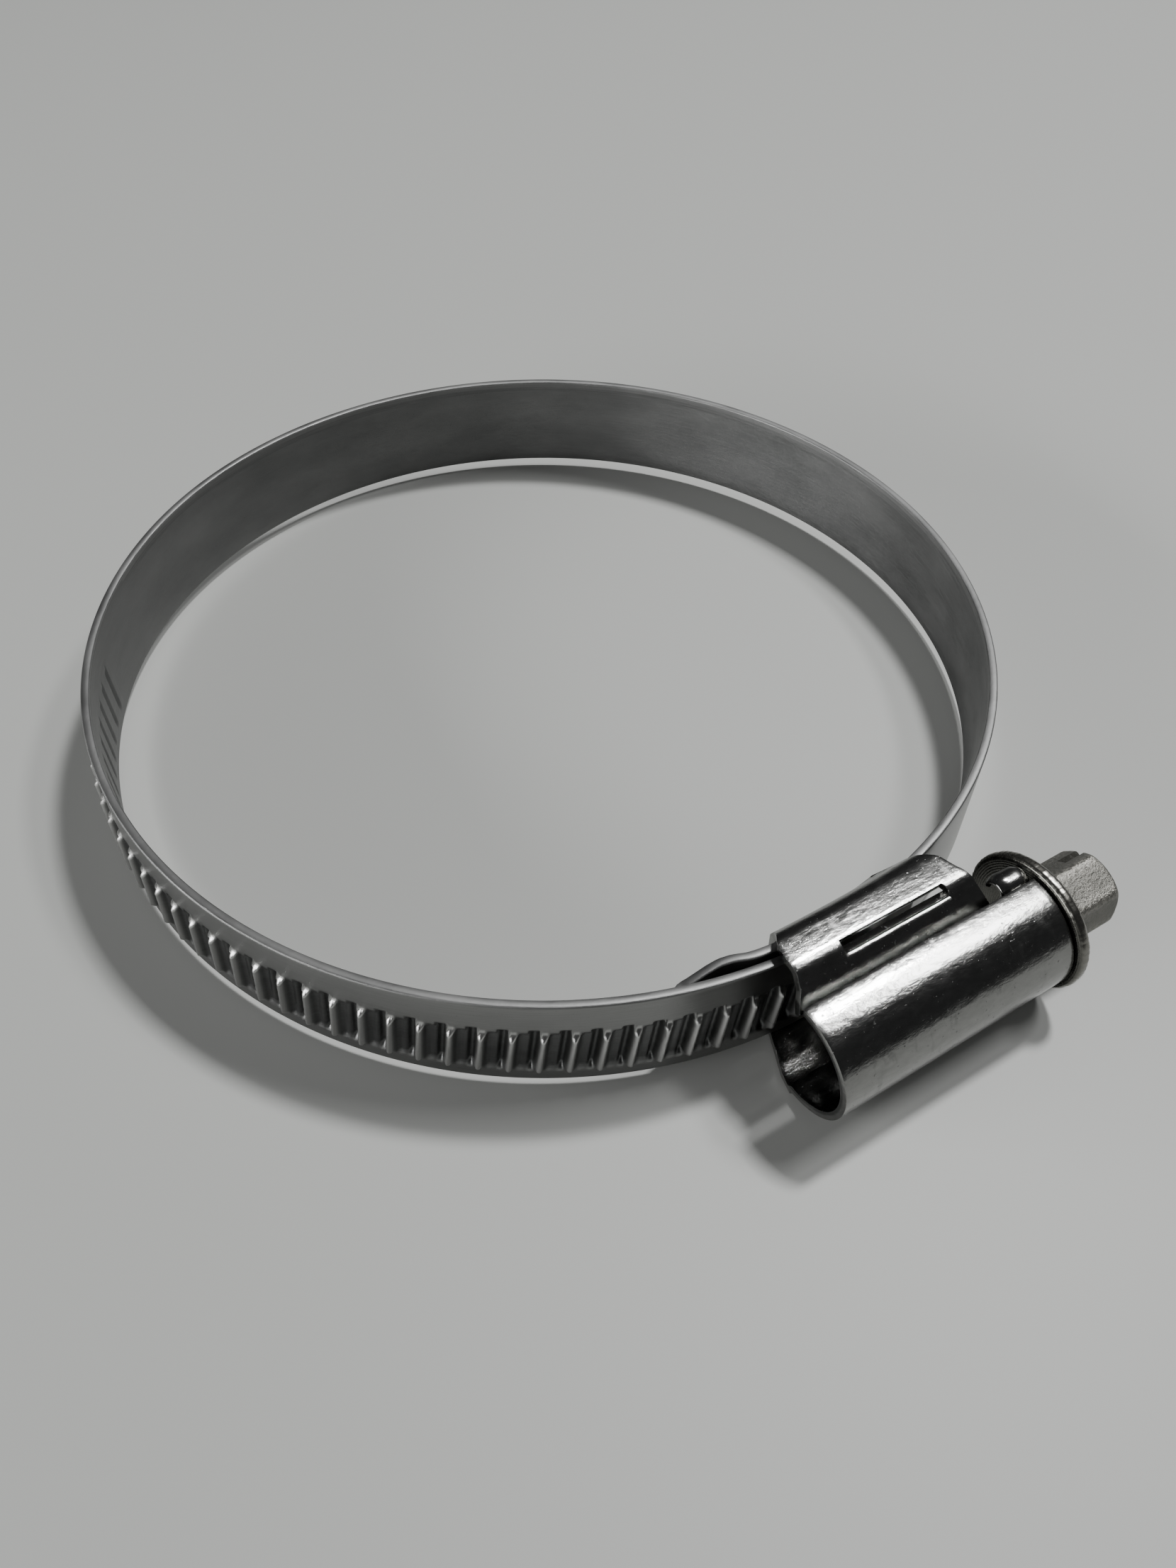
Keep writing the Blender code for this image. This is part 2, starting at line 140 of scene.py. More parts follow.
def cross_section(ribbed):
    """Outline of the band as (out, up, which face), anticlockwise from the outer face's foot."""
    flat = HALF_BAND - EDGE_ROUND
    outer_rows = max(2, round(2 * flat / ((0.17 if ribbed else 1.4) * MM)))
    inner_rows = 30 if ribbed else 10
    quarter = (22, 45, 68, 90)
    outline = [(HALF_THICK, -flat + 2 * flat * i / outer_rows, 1) for i in range(outer_rows + 1)]
    for out, up, first in ((HALF_THICK, flat, 0), (-HALF_THICK, flat, 90)):
        centre = out - math.copysign(EDGE_ROUND, out)
        outline += [(centre + EDGE_ROUND * math.cos(math.radians(first + a)),
                     up + EDGE_ROUND * math.sin(math.radians(first + a)), 0) for a in quarter]
    outline += [(-HALF_THICK, flat - 2 * flat * i / inner_rows, -1) for i in range(1, inner_rows + 1)]
    for out, first in ((-HALF_THICK, 180), (HALF_THICK, 270)):
        centre = out - math.copysign(EDGE_ROUND, out)
        outline += [(centre + EDGE_ROUND * math.cos(math.radians(first + a)),
                     -flat + EDGE_ROUND * math.sin(math.radians(first + a)), 0) for a in quarter]
    return outline[:-1]


UV_SCALE = 10
INNER_FACE_OFFSET = 0.03


def band_piece(name, first, last, material, cap_first=False, cap_last=False):
    """The strip from one angle to another, with its embossing in the mesh."""
    ribbed = last > FIRST_RIB
    outline = cross_section(ribbed)
    step = RIB_STEP / 24 if ribbed else 0.55
    count = max(2, round((last - first) / step))
    angles = [first + (last - first) * i / count for i in range(count + 1)]
    corner = math.degrees(END_ROUND / MID_RADIUS)
    mesh = bpy.data.meshes.new(name)
    form = bmesh.new()
    along = form.loops.layers.uv.new("UVMap")
    rows = []
    for angle in angles:
        radius = band_radius(angle)
        narrow = 0.0
        for capped, distance in ((cap_first, angle - first), (cap_last, last - angle)):
            if capped and distance < corner:
                left = 1 - distance / corner
                narrow = END_ROUND * (1 - math.sqrt(max(0.0, 1 - left * left)))
        if angle < TONGUE_HINGE:
            narrow += TONGUE_TAPER * ((TONGUE_HINGE - angle) / (TONGUE_HINGE - TONGUE_TIP)) ** 2
        row = []
        for out, up, face in outline:
            stands = 0.0
            if face > 0:
                stands = relief(angle, up)
            elif face < 0:
                # the inner face shows the crests as shallow hollows
                stands = HOLLOW_SHARE * max(relief(angle, up), HOLLOW_LIMIT)
            row.append(form.verts.new(on_ring(angle, radius + out + stands, up * (1 - narrow / HALF_BAND))))
        rows.append(row)
    total = len(outline)
    for i, (a, b) in enumerate(zip(rows, rows[1:])):
        lengths = [math.radians(angles[i + k]) * MID_RADIUS for k in (0, 1)]
        for j in range(total):
            k = (j + 1) % total
            made = form.faces.new((a[j], b[j], b[k], a[k]))
            made.smooth = True
            places = ((lengths[0], j), (lengths[1], j), (lengths[1], j + 1), (lengths[0], j + 1))
            for loop, (u, v) in zip(made.loops, places):
                out, up, face = outline[v % total]
                loop[along].uv = (u * UV_SCALE, (up if face >= 0 else up + INNER_FACE_OFFSET) * UV_SCALE)
    if cap_first:
        form.faces.new(rows[0])
    if cap_last:
        form.faces.new(list(reversed(rows[-1])))
    form.to_mesh(mesh)
    form.free()
    mesh.materials.append(material)
    piece = bpy.data.objects.new(name, mesh)
    bpy.context.scene.collection.objects.link(piece)
    return piece


class Value:
    """One output in a shader tree: arithmetic on it adds Math nodes."""

    def __init__(self, tree, socket):
        self.tree, self.socket = tree, socket

    def node(self, kind, settings=None, inputs=None, output=0):
        made = self.tree.nodes.new("ShaderNode" + kind)
        for name, value in (settings or {}).items():
            setattr(made, name, value)
        for name, value in (inputs or {}).items():
            if isinstance(value, Value):
                self.tree.links.new(value.socket, made.inputs[name])
            else:
                made.inputs[name].default_value = value
        return Value(self.tree, made.outputs[output])

    def maths(self, operation, *values):
        return self.node("Math", {"operation": operation}, dict(enumerate(values)))

    def __add__(self, other):
        return self.maths("ADD", self, other)

    def __sub__(self, other):
        return self.maths("SUBTRACT", self, other)

    def __mul__(self, other):
        return self.maths("MULTIPLY", self, other)

    def __truediv__(self, other):
        return self.maths("DIVIDE", self, other)

    def __pow__(self, other):
        return self.maths("POWER", self, other)

    def __rsub__(self, other):
        return self.maths("SUBTRACT", other, self)

    def __rtruediv__(self, other):
        return self.maths("DIVIDE", other, self)

    __radd__ = __add__
    __rmul__ = __mul__

    def step(self, low, high):
        """0 below low, 1 above high, smooth between."""
        inputs = {"Value": self, "From Min": low, "From Max": high}
        return self.node("MapRange", {"interpolation_type": "SMOOTHSTEP"}, inputs)

    def tint(self, dark, light):
        """A colour between two, by this value."""
        inputs = {"Factor": self, 6: (*dark, 1.0), 7: (*light, 1.0)}
        return self.node("Mix", {"data_type": "RGBA"}, inputs, 2)

    def scaled(self, x, y, z):
        """This place, stretched along each axis."""
        return self.node("VectorMath", {"operation": "MULTIPLY"}, {0: self, 1: (x, y, z)})

    def noise(self, scale, detail=4.0, roughness=0.55):
        inputs = {"Vector": self, "Scale": scale, "Detail": detail, "Roughness": roughness}
        return self.node("TexNoise", None, inputs)

    def split(self):
        made = self.node("SeparateXYZ", None, {0: self})
        return [Value(self.tree, made.socket.node.outputs[i]) for i in range(3)]


def metal(name):
    """A new steel material: it, its Principled shader, and its texture coordinate node."""
    made = bpy.data.materials.new(name)
    made.use_nodes = True
    shader = made.node_tree.nodes["Principled BSDF"]
    shader.inputs["Metallic"].default_value = 1.0
    coordinates = made.node_tree.nodes.new("ShaderNodeTexCoord")
    return made, shader, coordinates


def wire(shader, name, value):
    value.tree.links.new(value.socket, shader.inputs[name])


def bump(value, distance, strength=1.0):
    return value.node("Bump", None, {"Height": value, "Distance": distance, "Strength": strength})


band_steel, shader, coordinates = metal("band_steel")
place = Value(band_steel.node_tree, coordinates.outputs["UV"])
streaks = place.scaled(14.0, 900.0, 1.0).noise(1.0, 5.0)
fine = place.scaled(60.0, 4200.0, 1.0).noise(1.0, 3.0)
clouds = place.scaled(9.0, 20.0, 1.0).noise(1.0, 3.0)
specks = place.scaled(700.0, 900.0, 1.0).noise(1.0, 2.0).step(0.68, 0.76)
along, up = place.split()[:2]
inner_face_shade = up.step(0.15, 0.2)
edge = up.maths("ABSOLUTE", up).step(0.0575, 0.0592) * (0.35 + streaks)
# which rib, and how far across it: the crests get a painted highlight and the pockets painted shade
lean = (up / UV_SCALE - LEAN_CENTRE) * math.degrees(LEAN / MID_RADIUS)
rib = (along * math.degrees(1 / UV_SCALE / MID_RADIUS) - lean - FIRST_RIB) / RIB_STEP
from_crest = rib.maths("FRACT", rib) - 0.5
from_crest = from_crest.maths("ABSOLUTE", from_crest)
embossed = rib.step(0.0, 0.1) * up.step(-0.046, -0.040) * (1.0 - up.step(0.017, 0.023))
crest_highlight = embossed * (1.0 - from_crest.step(0.07, 0.15))
pocket_shade = embossed * from_crest.step(0.1, 0.2)
# streaks, clouds and specks are the steel's own tone; the rolled edges and the inner face are darkened as
# painted shade
shade = 0.12 + 0.2 * streaks + 0.2 * clouds - 0.3 * specks - 0.12 * edge - 0.06 * inner_face_shade
# painted highlight on the crests, painted shade in the pockets
shade = shade + 0.5 * crest_highlight - 0.22 * pocket_shade
wire(shader, "Base Color", shade.tint((0.06, 0.062, 0.062), (0.62, 0.62, 0.61)))
wire(shader, "Roughness", 0.20 + 0.12 * streaks + 0.10 * clouds + 0.12 * specks + 0.22 * edge)
wire(shader, "Normal", bump(0.5 * streaks + 0.35 * fine + 0.2 * specks + 1.5 * edge * fine, 0.000012))

hinges = [HINGE_START + SECTION * i for i in range(16)]
bodies = ["frame"] + ["band_section_%02d" % i for i in range(1, 16)] + ["band_free_end"]
HALF = SECTION / 2
FIXED_REACH = 15.0                # the first piece starts this far before its hinge
SEAM = 1.0
TONGUE_SPREAD = 2.0               # to each side of its hinge
for i, hinge in enumerate(hinges):
    last = i == len(hinges) - 1
    first_angle = hinge - (FIXED_REACH if i == 0 else HALF)
    last_angle = BAND_END if last else hinge + HALF
    piece = band_piece("band_%02d" % (i + 1), first_angle, last_angle, band_steel, cap_last=last)
    bodies[i + 1]
    on_ring(hinge - HALF + SEAM, band_radius(hinge), 0.0)
    on_ring(hinge + HALF - SEAM, band_radius(hinge), 0.0)
    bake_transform(piece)
    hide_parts(bodies[i + 1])

tongue = band_piece("band_00", TONGUE_TIP, hinges[0] - FIXED_REACH, band_steel, cap_first=True)
on_ring(TONGUE_HINGE + TONGUE_SPREAD, band_radius(0.0), 0.0)
on_ring(TONGUE_HINGE - TONGUE_SPREAD, band_radius(0.0), 0.0)
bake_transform(tongue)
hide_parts("band_tongue", "band_fixed_end")

# ---- housing ----------------------------------------------------------------------------
# One blank of bright 0.8 mm steel, bent round the worm as a barrel, on under the band, up its
# inner side and back over its top edge. The wall it ends in is pressed inwards between its two
# ends, with a slot along the crease, and its end is tucked under the barrel's first edge.
SHEET = 0.8 * MM
BARREL_RADIUS = 6.35 * MM
SCREW_DISTANCE = 54.5 * MM
SCREW_DROP = -0.3 * MM
LEG = 46.6 * MM
FLOOR_CORNER = 1.2 * MM
ROOF_CORNER = 1.7 * MM
SHOULDER = 50.15 * MM
SHOULDER_CORNER = 1.6 * MM
TUCK = (53.35 * MM, 4.5 * MM)
WALL_ROWS = 14
STATION = 0.5 * MM
PANEL_RAMP = 0.35 * MM
BAR_START, BAR_REACH, BAR_TOP = 51.0 * MM, 2.4 * MM, 6.25 * MM
SLOT_END = 0.6 * MM
CREASE = (50.5 * MM, 51.25 * MM)
# how far each end of the sheet runs in, in mm: the left end by height, the right by reach
LEFT_FLARE = [(4.5, 0.0), (5.2, 0.4), (5.8, 0.9), (6.9, 1.1)]
RIGHT_TRIM = [(46.6, 5.6), (47.2, 3.9), (48.2, 2.5), (49.6, 2.0), (51.0, 1.3), (53.4, 0.4)]
FLOOR_FLARE = 2.6 * MM
LEG_TRIM = 3.2
housing_low, housing_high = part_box("housing")
LEFT, RIGHT = housing_low.x - RING_X, housing_high.x - RING_X
ROLL = (LEFT + 2.6 * MM, LEFT + 22.4 * MM)
PANEL = (ROLL[0] + 3.3 * MM, ROLL[1] - 3.0 * MM)
SLOT = (PANEL[0] + 0.3 * MM, PANEL[1] - 0.3 * MM)
ROOF = HALF_BAND + 1.1 * MM


def turn_points(centre, radius, first, last, step, tag):
    count = max(1, round(abs(last - first) / step))
    made = []
    for i in range(count + 1):
        a = math.radians(first + (last - first) * i / count)
        made.append((centre[0] + radius * math.cos(a), centre[1] + radius * math.sin(a), tag))
    return made


profile = turn_points((SCREW_DISTANCE, SCREW_DROP), BARREL_RADIUS - SHEET / 2, 96, -90, 3, "barrel")
floor_up = min(SCREW_DROP - BARREL_RADIUS, -HALF_BAND - 0.3 * MM - SHEET) + SHEET / 2
profile[-1] = (profile[-1][0], floor_up, "barrel")
profile.append((SCREW_DISTANCE - 1.55 * MM, floor_up, "floor"))
profile += turn_points((LEG + FLOOR_CORNER, floor_up + FLOOR_CORNER), FLOOR_CORNER, -90, -180, 10, "floor")
profile += [(LEG, up * MM, "leg") for up in (-3.0, 0.0, 3.0)]
profile += turn_points((LEG + ROOF_CORNER, ROOF - ROOF_CORNER), ROOF_CORNER, 180, 90, 9, "roof")
profile += [(49.7 * MM, ROOF, "slot")]
profile += turn_points((SHOULDER, ROOF - SHOULDER_CORNER), SHOULDER_CORNER, 90, 50, 6, "slot")
top_out, top_up = profile[-1][:2]
for k in range(1, WALL_ROWS + 1):
    share = k / WALL_ROWS
    profile.append((top_out + (TUCK[0] - top_out) * share, top_up + (TUCK[1] - top_up) * share, "wall"))


def pressed(out):
    """The pressed bar's height at this reach: a round back that falls away to the tucked end."""
    run = min(max((out - BAR_START) / BAR_REACH, 0.0), 1.0)
    return BAR_TOP - 0.2 * MM * run - 1.3 * MM * run ** 5


marks = sorted({LEFT, ROLL[0], PANEL[0], PANEL[0] + PANEL_RAMP, SLOT[0], SLOT[0] + SLOT_END,
                SLOT[1] - SLOT_END, SLOT[1], PANEL[1] - PANEL_RAMP, PANEL[1], ROLL[1], RIGHT})
stations = [LEFT]
for a, b in zip(marks, marks[1:]):
    count = max(1, round((b - a) / STATION))
    stations += [a + (b - a) * k / count for k in range(1, count + 1)]

mesh = bpy.data.meshes.new("housing_sheet")
form = bmesh.new()
grid = []
for s in stations:
    in_panel = smooth(min(s - PANEL[0], PANEL[1] - s) / (0.5 * MM))
    along_wall = min(max((s - ROLL[0]) / (ROLL[1] - ROLL[0]), 0.0), 1.0)
    row = []
    for out, up, tag in profile:
        x = s
        inner = smooth((49.6 * MM - out) / (3 * MM))
        if tag != "barrel":
            # the blank is narrower past the barrel: its left side flares into it, its right
            # side runs in to the shorter inner leg, and both of the wall's ends are rounded
            flare = FLOOR_FLARE * smooth((SCREW_DISTANCE - out) / (6.5 * MM))
            if tag in ("slot", "wall"):
                flare = through(LEFT_FLARE, up / MM) * MM
            elif tag == "roof":
                flare = (1.1 + 1.4 * inner ** 2) * MM
            x = s + flare * max(0.0, 1 - (s - LEFT) / (ROLL[0] + 3 * MM - LEFT))
            leg_trim = LEG_TRIM * inner * smooth((6.2 * MM - up) / (1.2 * MM))
            x -= (through(RIGHT_TRIM, out / MM) * along_wall ** 2 + leg_trim * along_wall) * MM
        bow = (LEG - math.sqrt(LEG * LEG - x * x)) * (1 - 0.75 * smooth((up - 5.3 * MM) / (0.7 * MM)))
        if tag == "wall":
            up += (min(pressed(out), up) - up) * in_panel
        row.append(form.verts.new((RING_X + x, RING_Y - (out - bow * inner), RING_Z + up)))
    grid.append(row)
for i, (a, b) in enumerate(zip(grid, grid[1:])):
    middle = (stations[i] + stations[i + 1]) / 2
    for j in range(len(profile) - 1):
        out = (profile[j][0] + profile[j + 1][0]) / 2
        if middle > ROLL[1] and profile[j + 1][2] != "barrel":
            continue
        on_crease = CREASE[0] < out < CREASE[1] and profile[j][1] > HALF_BAND
        if SLOT[0] < middle < SLOT[1] and on_crease:
            continue
        form.faces.new((a[j], a[j + 1], b[j + 1], b[j])).smooth = True
loose = [v for v in form.verts if not v.link_faces]
bmesh.ops.delete(form, geom=loose, context="VERTS")
form.to_mesh(mesh)
form.free()
shell = bpy.data.objects.new("housing_sheet", mesh)
bpy.context.scene.collection.objects.link(shell)
thick = shell.modifiers.new("sheet", "SOLIDIFY")
thick.thickness, thick.offset, thick.use_even_offset = SHEET, 0.0, True
rounding = shell.modifiers.new("edges", "BEVEL")
rounding.width, rounding.segments, rounding.limit_method = 0.16 * MM, 3, "ANGLE"
rounding.angle_limit = math.radians(50)

# the tab beside the collar: the end of the blank curled back over the barrel's edge
TAB_START, TAB_WIDTH = ROLL[1] + 1.1 * MM, 3.0 * MM
TAB_OUT, TAB_UP, TAB_RADIUS = 52.55 * MM, 4.75 * MM, 0.95 * MM
TAB_ROWS = 12
tab_mesh = bpy.data.meshes.new("housing_tab")
form = bmesh.new()
rows = []
for k in range(TAB_ROWS + 1):
    s = TAB_START + TAB_WIDTH * k / TAB_ROWS
    radius = TAB_RADIUS * (1 - 0.35 * max(0.0, abs(2 * k / TAB_ROWS - 1) - 0.6) / 0.4)
    row = []
    for a in range(5, 196, 10):
        turn = math.radians(a)
        row.append(form.verts.new((RING_X + s, RING_Y - (TAB_OUT + radius * math.cos(turn)),
                                   RING_Z + TAB_UP + radius * math.sin(turn))))
    rows.append(row)
for a, b in zip(rows, rows[1:]):
    for j in range(len(a) - 1):
        form.faces.new((a[j], a[j + 1], b[j + 1], b[j])).smooth = True
form.to_mesh(tab_mesh)
form.free()
tab = bpy.data.objects.new("housing_tab", tab_mesh)
bpy.context.scene.collection.objects.link(tab)
curl = tab.modifiers.new("sheet", "SOLIDIFY")
curl.thickness, curl.offset = 0.5 * MM, -1.0
soften = tab.modifiers.new("edges", "BEVEL")
soften.width, soften.segments, soften.limit_method = 0.12 * MM, 2, "ANGLE"

bright_steel, shader, coordinates = metal("housing_steel")
place = Value(bright_steel.node_tree, coordinates.outputs["Object"])
ragged = place.scaled(1.0, 2.2, 2.2).noise(700.0, 6.0, 0.6)
waves = place.scaled(0.5, 1.0, 1.0).noise(160.0, 2.0)
drawn = place.scaled(120.0, 2600.0, 2600.0).noise(1.0, 4.0)
pits = place.noise(2600.0, 2.0).step(0.66, 0.74)
scuffs = place.scaled(1.0, 0.3, 0.3).noise(900.0, 3.0).step(0.58, 0.72)
# the barrel's inside is painted dark: painted shade
axis = (RING_Y - SCREW_DISTANCE, RING_Z + SCREW_DROP)
deep, high = [part - centre for part, centre in zip(place.split()[1:], axis)]
barrel_inside_shade = 1.0 - ((deep * deep + high * high) ** 0.5).step(5.75 * MM, 6.0 * MM)
shade = 0.45 + 0.5 * ragged - 0.35 * pits - 0.15 * scuffs - 0.6 * barrel_inside_shade
wire(shader, "Base Color", shade.tint((0.09, 0.092, 0.09), (0.38, 0.38, 0.37)))
wire(shader, "Roughness", 0.12 + 0.12 * ragged + 0.14 * pits + 0.08 * scuffs)
wire(shader, "Normal", bump(0.9 * waves + 0.34 * ragged + 0.05 * drawn - 0.06 * pits, 0.00011))
for piece in (shell, tab):
    piece.data.materials.append(bright_steel)
    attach(piece, "frame")
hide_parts("housing")

# ---- screw ------------------------------------------------------------------------------
# One turned and rolled piece of zinc-plated steel: a worm in the barrel, a collar that holds it
# there and a chamfered hexagon for a 7 mm socket, slotted across for a blade. The collar keeps
# the rings of its turning tool, and handling has worn the hexagon's corners to bare grain.
screw_low, screw_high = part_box("worm_screw")
AXIS_Y, AXIS_Z = RING_Y - SCREW_DISTANCE, RING_Z + SCREW_DROP
PITCH = math.radians(RIB_STEP) * 49.6 * MM
COLLAR = RIGHT + 0.3 * MM
COLLAR_END = COLLAR + 1.3 * MM
HEX_END = screw_high.x - RING_X
THREAD_START = 1.6 * MM
TURNS = 4.5
CORE, CREST, NECK = 3.6 * MM, 4.5 * MM, 2.9 * MM
COLLAR_RADIUS = 7.05 * MM
COLLAR_BACK, COLLAR_FRONT = 0.5 * MM, 0.55 * MM   # roundings of its rim
HALF_FLAT = 3.5 * MM
HALF_CORNERS = 3.92 * MM
HEX_ROLL = 21.0
SLOT_ROLL = -39.0
SLOT_WIDTH, SLOT_DEPTH = 1.1 * MM, 3.0 * MM


def lathe(name, rings, sides, radius_at=None):
    """Rings of (x, radius) round the screw's axis; radius_at(x, radius, angle) may shape them."""
    mesh = bpy.data.meshes.new(name)
    form = bmesh.new()
    rows = []
    for x, radius in rings:
        row = []
        for i in range(sides):
            angle = 360 * i / sides
            reach = radius_at(x, radius, angle) if radius_at else radius
            turn = math.radians(angle)
            row.append(form.verts.new((RING_X + x, AXIS_Y - reach * math.cos(turn),
                                       AXIS_Z + reach * math.sin(turn))))
        rows.append(row)
    for a, b in zip(rows, rows[1:]):
        for i in range(sides):
            j = (i + 1) % sides
            form.faces.new((a[i], a[j], b[j], b[i])).smooth = True
    form.faces.new(rows[0])
    form.faces.new(list(reversed(rows[-1])))
    bmesh.ops.recalc_face_normals(form, faces=form.faces)
    form.to_mesh(mesh)
    form.free()
    piece = bpy.data.objects.new(name, mesh)
    bpy.context.scene.collection.objects.link(piece)
    return piece


thread_end = THREAD_START + PITCH * TURNS


def worm_radius(x, radius, angle):
    """A thread of rounded trapezium form that runs out at both ends."""
    from_start = x - THREAD_START + 0.4 * PITCH
    to_end = thread_end + 0.4 * PITCH - x
    if from_start <= 0 or to_end <= 0:
        return radius
    across = ((x - THREAD_START) / PITCH - angle / 360) % 1.0
    height = smooth((0.34 - abs(across - 0.5)) / 0.2)
    return radius + (CREST - CORE) * height * smooth(from_start / PITCH) * smooth(to_end / PITCH)


WORM_RINGS = 260
left_end = THREAD_START - PITCH * 0.5
right_end = thread_end + PITCH * 0.5
full = left_end + 0.45 * MM
worm_rings = [(left_end, CORE - 1.2 * MM), (left_end, CORE - 0.5 * MM),
              (left_end + 0.2 * MM, CORE - 0.2 * MM)]
worm_rings += [(full + (right_end - full) * k / WORM_RINGS, CORE) for k in range(WORM_RINGS + 1)]
worm_rings += [(right_end + 0.25 * MM, NECK + 0.2 * MM), (right_end + 0.4 * MM, NECK),
               (COLLAR + 0.3 * MM, NECK)]
worm = lathe("screw_worm", worm_rings, 72, worm_radius)

COLLAR_SIDES = 240
random.seed(11)
nicks = [random.uniform(-0.035, 0.02) * MM for _ in range(COLLAR_SIDES)]


def collar_radius(x, radius, angle):
    """The rim is nicked all round."""
    if radius < COLLAR_RADIUS - COLLAR_BACK:
        return radius
    at = angle * COLLAR_SIDES / 360
    low = int(at)
    return radius + nicks[low % COLLAR_SIDES] * (1 - at + low) + nicks[(low + 1) % COLLAR_SIDES] * (at - low)


collar_rings = [(COLLAR, 2.4 * MM)]
collar_rings += [(COLLAR, (2.8 + 0.2 * k) * MM) for k in range(19)]
for a in range(0, 91, 15):
    turn = math.radians(a)
    collar_rings.append((COLLAR + COLLAR_BACK * (1 - math.cos(turn)),
                         COLLAR_RADIUS - COLLAR_BACK * (1 - math.sin(turn))))
for a in range(0, 91, 15):
    turn = math.radians(a)
    collar_rings.append((COLLAR_END - COLLAR_FRONT * (1 - math.sin(turn)),
                         COLLAR_RADIUS - COLLAR_FRONT * (1 - math.cos(turn))))
collar_rings += [(COLLAR_END, (6.4 - 0.4 * k) * MM) for k in range(7)]
collar_rings += [(COLLAR_END + 0.05 * MM, 3.8 * MM)]
collar = lathe("screw_collar", collar_rings, COLLAR_SIDES, collar_radius)


def soft_min(a, b, blend):
    gap = max(blend - abs(a - b), 0.0) / blend
    return min(a, b) - gap * gap * blend / 4


def hex_radius(x, radius, angle):
    """Six flats with rounded corners, inside the crown that the end was turned to."""
    flat = HALF_FLAT / math.cos(math.radians((angle + HEX_ROLL) % 60 - 30))
    return soft_min(soft_min(flat, HALF_CORNERS, 0.1 * MM), radius, 0.25 * MM)


# the crown's radius by its distance from the end, in mm, and the plain length behind it
CROWN = [(1.7, 4.6), (1.4, 4.42), (1.1, 4.2), (0.85, 3.98), (0.6, 3.72), (0.4, 3.46), (0.25, 3.2),
         (0.12, 2.85), (0.04, 2.4), (0.0, 1.8), (0.0, 1.2), (0.0, 0.6), (0.0, 0.15)]
PLAIN_RINGS = 24
hex_start, plain_end = COLLAR_END - 0.2 * MM, HEX_END - 2.0 * MM
crown_rings = []
for k in range(PLAIN_RINGS + 1):
    crown_rings.append((hex_start + (plain_end - hex_start) * k / PLAIN_RINGS, CROWN[0][1] * MM))
for distance, radius in CROWN:
    crown_rings.append((HEX_END - distance * MM, radius * MM))
head = lathe("screw_head", crown_rings, 180, hex_radius)
cutter_mesh = bpy.data.meshes.new("slot_cutter")
form = bmesh.new()
bmesh.ops.create_cube(form, size=1.0)
form.to_mesh(cutter_mesh)
form.free()
cutter = bpy.data.objects.new("slot_cutter", cutter_mesh)
bpy.context.scene.collection.objects.link(cutter)
cutter.scale = (2 * SLOT_DEPTH, SLOT_WIDTH, 12 * MM)
cutter.rotation_euler = (math.radians(SLOT_ROLL), 0, 0)
cutter.location = (RING_X + HEX_END, AXIS_Y, AXIS_Z)
slotted = head.modifiers.new("slot", "BOOLEAN")
slotted.operation, slotted.object, slotted.solver = "DIFFERENCE", cutter, "EXACT"
bpy.context.view_layer.update()
finished = bpy.data.meshes.new_from_object(head.evaluated_get(bpy.context.evaluated_depsgraph_get()))
head.modifiers.clear()
head.data = finished
bpy.data.objects.remove(cutter, do_unlink=True)
finished.shade_smooth()
finished.set_sharp_from_angle(angle=math.radians(38))

plated, shader, coordinates = metal("screw_zinc")
place = Value(plated.node_tree, coordinates.outputs["Object"])
along, deep, high = place.split()
deep, high = deep - AXIS_Y, high - AXIS_Z
reach = (deep * deep + high * high) ** 0.5
grain = place.noise(3200.0, 4.0, 0.7)
cloud = place.noise(420.0, 3.0)
turning = reach * 26000.0 + 3.0 * cloud
rings = turning.maths("SINE", turning)
on_head = along.step(RING_X + COLLAR_END + 0.15 * MM, RING_X + COLLAR_END + 0.4 * MM)
worn = on_head * reach.step(3.45 * MM, 4.0 * MM) * grain.step(0.35, 0.6)
# the collar's rim is painted lighter: a painted highlight
rim_highlight = (1.0 - on_head) * reach.step(6.82 * MM, 7.02 * MM)
light = 0.22 * cloud + 0.18 * grain + 0.35 * worn + 0.25 * rim_highlight + 0.05 * on_head
wire(shader, "Base Color", light.tint((0.045, 0.047, 0.042), (0.50, 0.485, 0.445)))
wire(shader, "Roughness", 0.2 + 0.14 * grain + 0.14 * on_head)
wire(shader, "Normal", bump(0.06 * rings * (1.0 - on_head) + (0.12 + 1.3 * on_head) * grain, 0.00009))
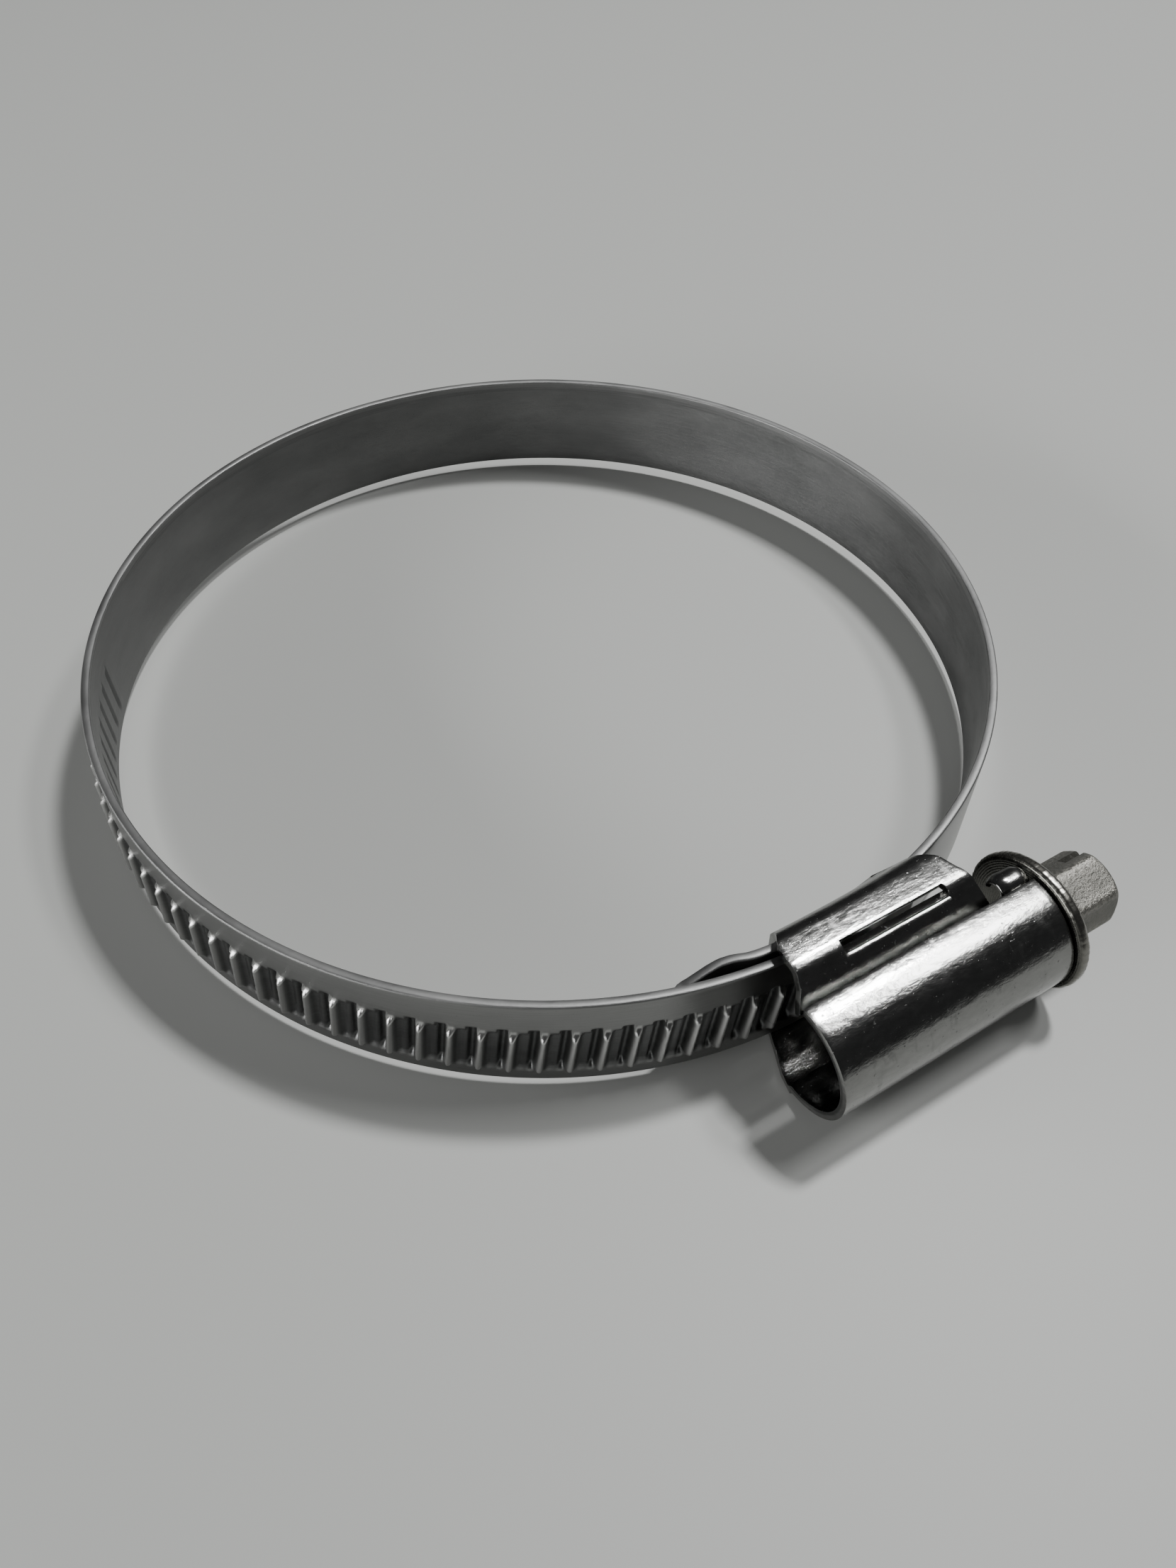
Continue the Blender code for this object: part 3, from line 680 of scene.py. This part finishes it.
for piece in (worm, collar, head):
    piece.data.materials.append(plated)
    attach(piece, "worm_screw")
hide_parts("worm_screw")

# ---- stage ------------------------------------------------------------------------------
# A plain pale bench, a lamp overhead beyond the screw's head with a strip light beside it, a low
# window on the other side and a camera that looks down past the screw at the whole ring.
bpy.ops.mesh.primitive_plane_add(size=3.0, location=(0, 0, 0))
bench = bpy.context.object
bench.name = "bench"
pale = bpy.data.materials.new("bench")
pale.use_nodes = True
shader = pale.node_tree.nodes["Principled BSDF"]
shader.inputs["Base Color"].default_value = (0.31, 0.315, 0.305, 1.0)
shader.inputs["Roughness"].default_value = 0.55
bench.data.materials.append(pale)


def lamp(name, place, size, power, target=(0, 0, 0)):
    data = bpy.data.lights.new(name, "AREA")
    data.shape = "RECTANGLE"
    data.size, data.size_y = size
    data.energy = power
    item = bpy.data.objects.new(name, data)
    bpy.context.scene.collection.objects.link(item)
    item.location = place
    item.rotation_euler = (Vector(target) - Vector(place)).to_track_quat("-Z", "Y").to_euler()
    return item


lamp("overhead", (0.43, 0.12, 0.91), (0.10, 0.12), 11.0)
lamp("strip", (0.54, -0.12, 0.85), (0.24, 0.09), 4.0)
lamp("window", (-0.95, 0.12, 0.30), (1.1, 0.14), 13.0)
world = bpy.data.worlds.new("room")
bpy.context.scene.world = world
world.use_nodes = True
world.node_tree.nodes["Background"].inputs["Color"].default_value = (0.55, 0.56, 0.57, 1.0)
world.node_tree.nodes["Background"].inputs["Strength"].default_value = 0.07

# the camera stands close, above the band, and looks down across the ring
seen = bpy.data.cameras.new("camera")
seen.sensor_width = 36.0
seen.lens = 29.11
seen.clip_start = 0.005
eye = bpy.data.objects.new("camera", seen)
bpy.context.scene.collection.objects.link(eye)
right = Vector((0.84979, -0.52697, 0.01256))
down = Vector((-0.38676, -0.63951, -0.66441))
ahead = Vector((0.35815, 0.55975, -0.74726))
turned = Matrix((right, -down, -ahead)).transposed().to_4x4()
eye.matrix_world = Matrix.Translation(Vector((-52.471, -85.547, 105.082)) * MM) @ turned
bpy.context.scene.camera = eye
